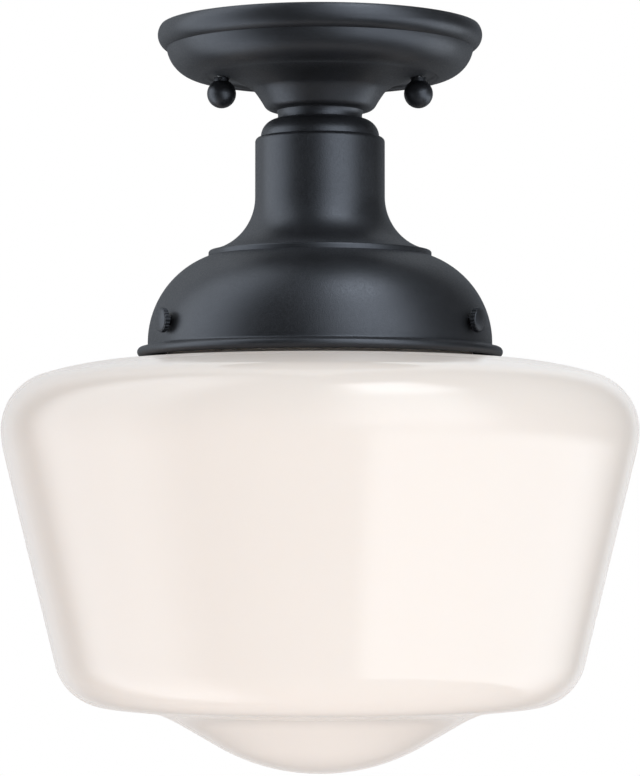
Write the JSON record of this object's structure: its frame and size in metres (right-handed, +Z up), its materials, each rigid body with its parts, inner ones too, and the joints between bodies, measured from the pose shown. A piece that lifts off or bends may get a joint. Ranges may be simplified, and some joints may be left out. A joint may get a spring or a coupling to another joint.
{
  "type": "semi flush ceiling light",
  "caption": "Semi flush ceiling light: stepped round canopy, short flared column and domed fitter in black metal over a tapered opal glass globe.",
  "frame": {"origin": "middle of the box bar's top face, in the ceiling plane", "axes": "+Z up into the ceiling; the light hangs to -Z; front, between two thumbscrews, to -Y; canopy studs along X"},
  "size_m": [0.2858, 0.2858, 0.3359],
  "materials": {
    "black_metal": "satin",
    "opal_glass": "gloss",
    "zinc_steel": "satin",
    "green_screw": "satin",
    "copper": "satin",
    "brass": "satin",
    "porcelain": "gloss",
    "nickel": "satin",
    "black_insulation": "matte",
    "white_insulation": "matte",
    "connector_plastic": "gloss",
    "solder": "satin",
    "dark_glass": "gloss",
    "frosted_glass": "satin"
  },
  "bodies": {
    "ceiling_strap": {"box_bar": "zinc_steel", "bar_eyelet": "zinc_steel"},
    "fixture": {"stud_bar": "zinc_steel", "canopy_studs": "zinc_steel", "stud_locknuts": "zinc_steel", "ground_screw": "green_screw", "ground_wire": "copper", "canopy": "black_metal", "collar": "black_metal", "column_cap": "black_metal", "column": "black_metal", "fitter_dome": "black_metal", "nipple": "zinc_steel", "nipple_nut_top": "zinc_steel", "nipple_nut_bottom": "zinc_steel", "lock_washers": "zinc_steel", "screw_bushes": "brass", "socket_bracket": "zinc_steel", "bracket_screws": "zinc_steel", "socket_body": "porcelain", "socket_shell": "nickel", "socket_contact": "brass", "terminal_screws": "brass", "black_lead": "black_insulation", "white_lead": "white_insulation", "wire_connectors": "connector_plastic"},
    "ball_nut_left": {"ball_nut_left": "black_metal"},
    "ball_nut_right": {"ball_nut_right": "black_metal"},
    "thumbscrew_left": {"thumbscrew_left": "black_metal"},
    "thumbscrew_right": {"thumbscrew_right": "black_metal"},
    "thumbscrew_back": {"thumbscrew_back": "black_metal"},
    "lamp": {"bulb_contact": "solder", "bulb_insulator": "dark_glass", "bulb_cap": "nickel", "bulb_glass": "frosted_glass"},
    "globe": {"globe": "opal_glass"}
  },
  "joints": [
    {"name": "strap_swivel", "type": "hinge", "parent": "ceiling_strap", "child": "fixture", "pos_m": [0, 0, 0], "axis": [0, 0, 1], "range_deg": [-90, 90]},
    {"name": "ball_nut_left_unscrew", "type": "slide", "parent": "fixture", "child": "ball_nut_left", "axis": [0, 0, -1], "range_m": [0, 0.008]},
    {"name": "ball_nut_right_unscrew", "type": "slide", "parent": "fixture", "child": "ball_nut_right", "axis": [0, 0, -1], "range_m": [0, 0.008]},
    {"name": "thumbscrew_left_unscrew", "type": "slide", "parent": "fixture", "child": "thumbscrew_left", "axis": [-0.866, -0.5, 0], "range_m": [0, 0.006]},
    {"name": "thumbscrew_right_unscrew", "type": "slide", "parent": "fixture", "child": "thumbscrew_right", "axis": [0.866, -0.5, 0], "range_m": [0, 0.006]},
    {"name": "thumbscrew_back_unscrew", "type": "slide", "parent": "fixture", "child": "thumbscrew_back", "axis": [0, 1, 0], "range_m": [0, 0.006]},
    {"name": "lamp_unscrew", "type": "slide", "parent": "fixture", "child": "lamp", "axis": [0, 0, -1], "range_m": [0, 0.024]},
    {"name": "globe_turn", "type": "hinge", "parent": "fixture", "child": "globe", "pos_m": [0, 0, -0.18], "axis": [0, 0, 1], "continuous": true}
  ]
}
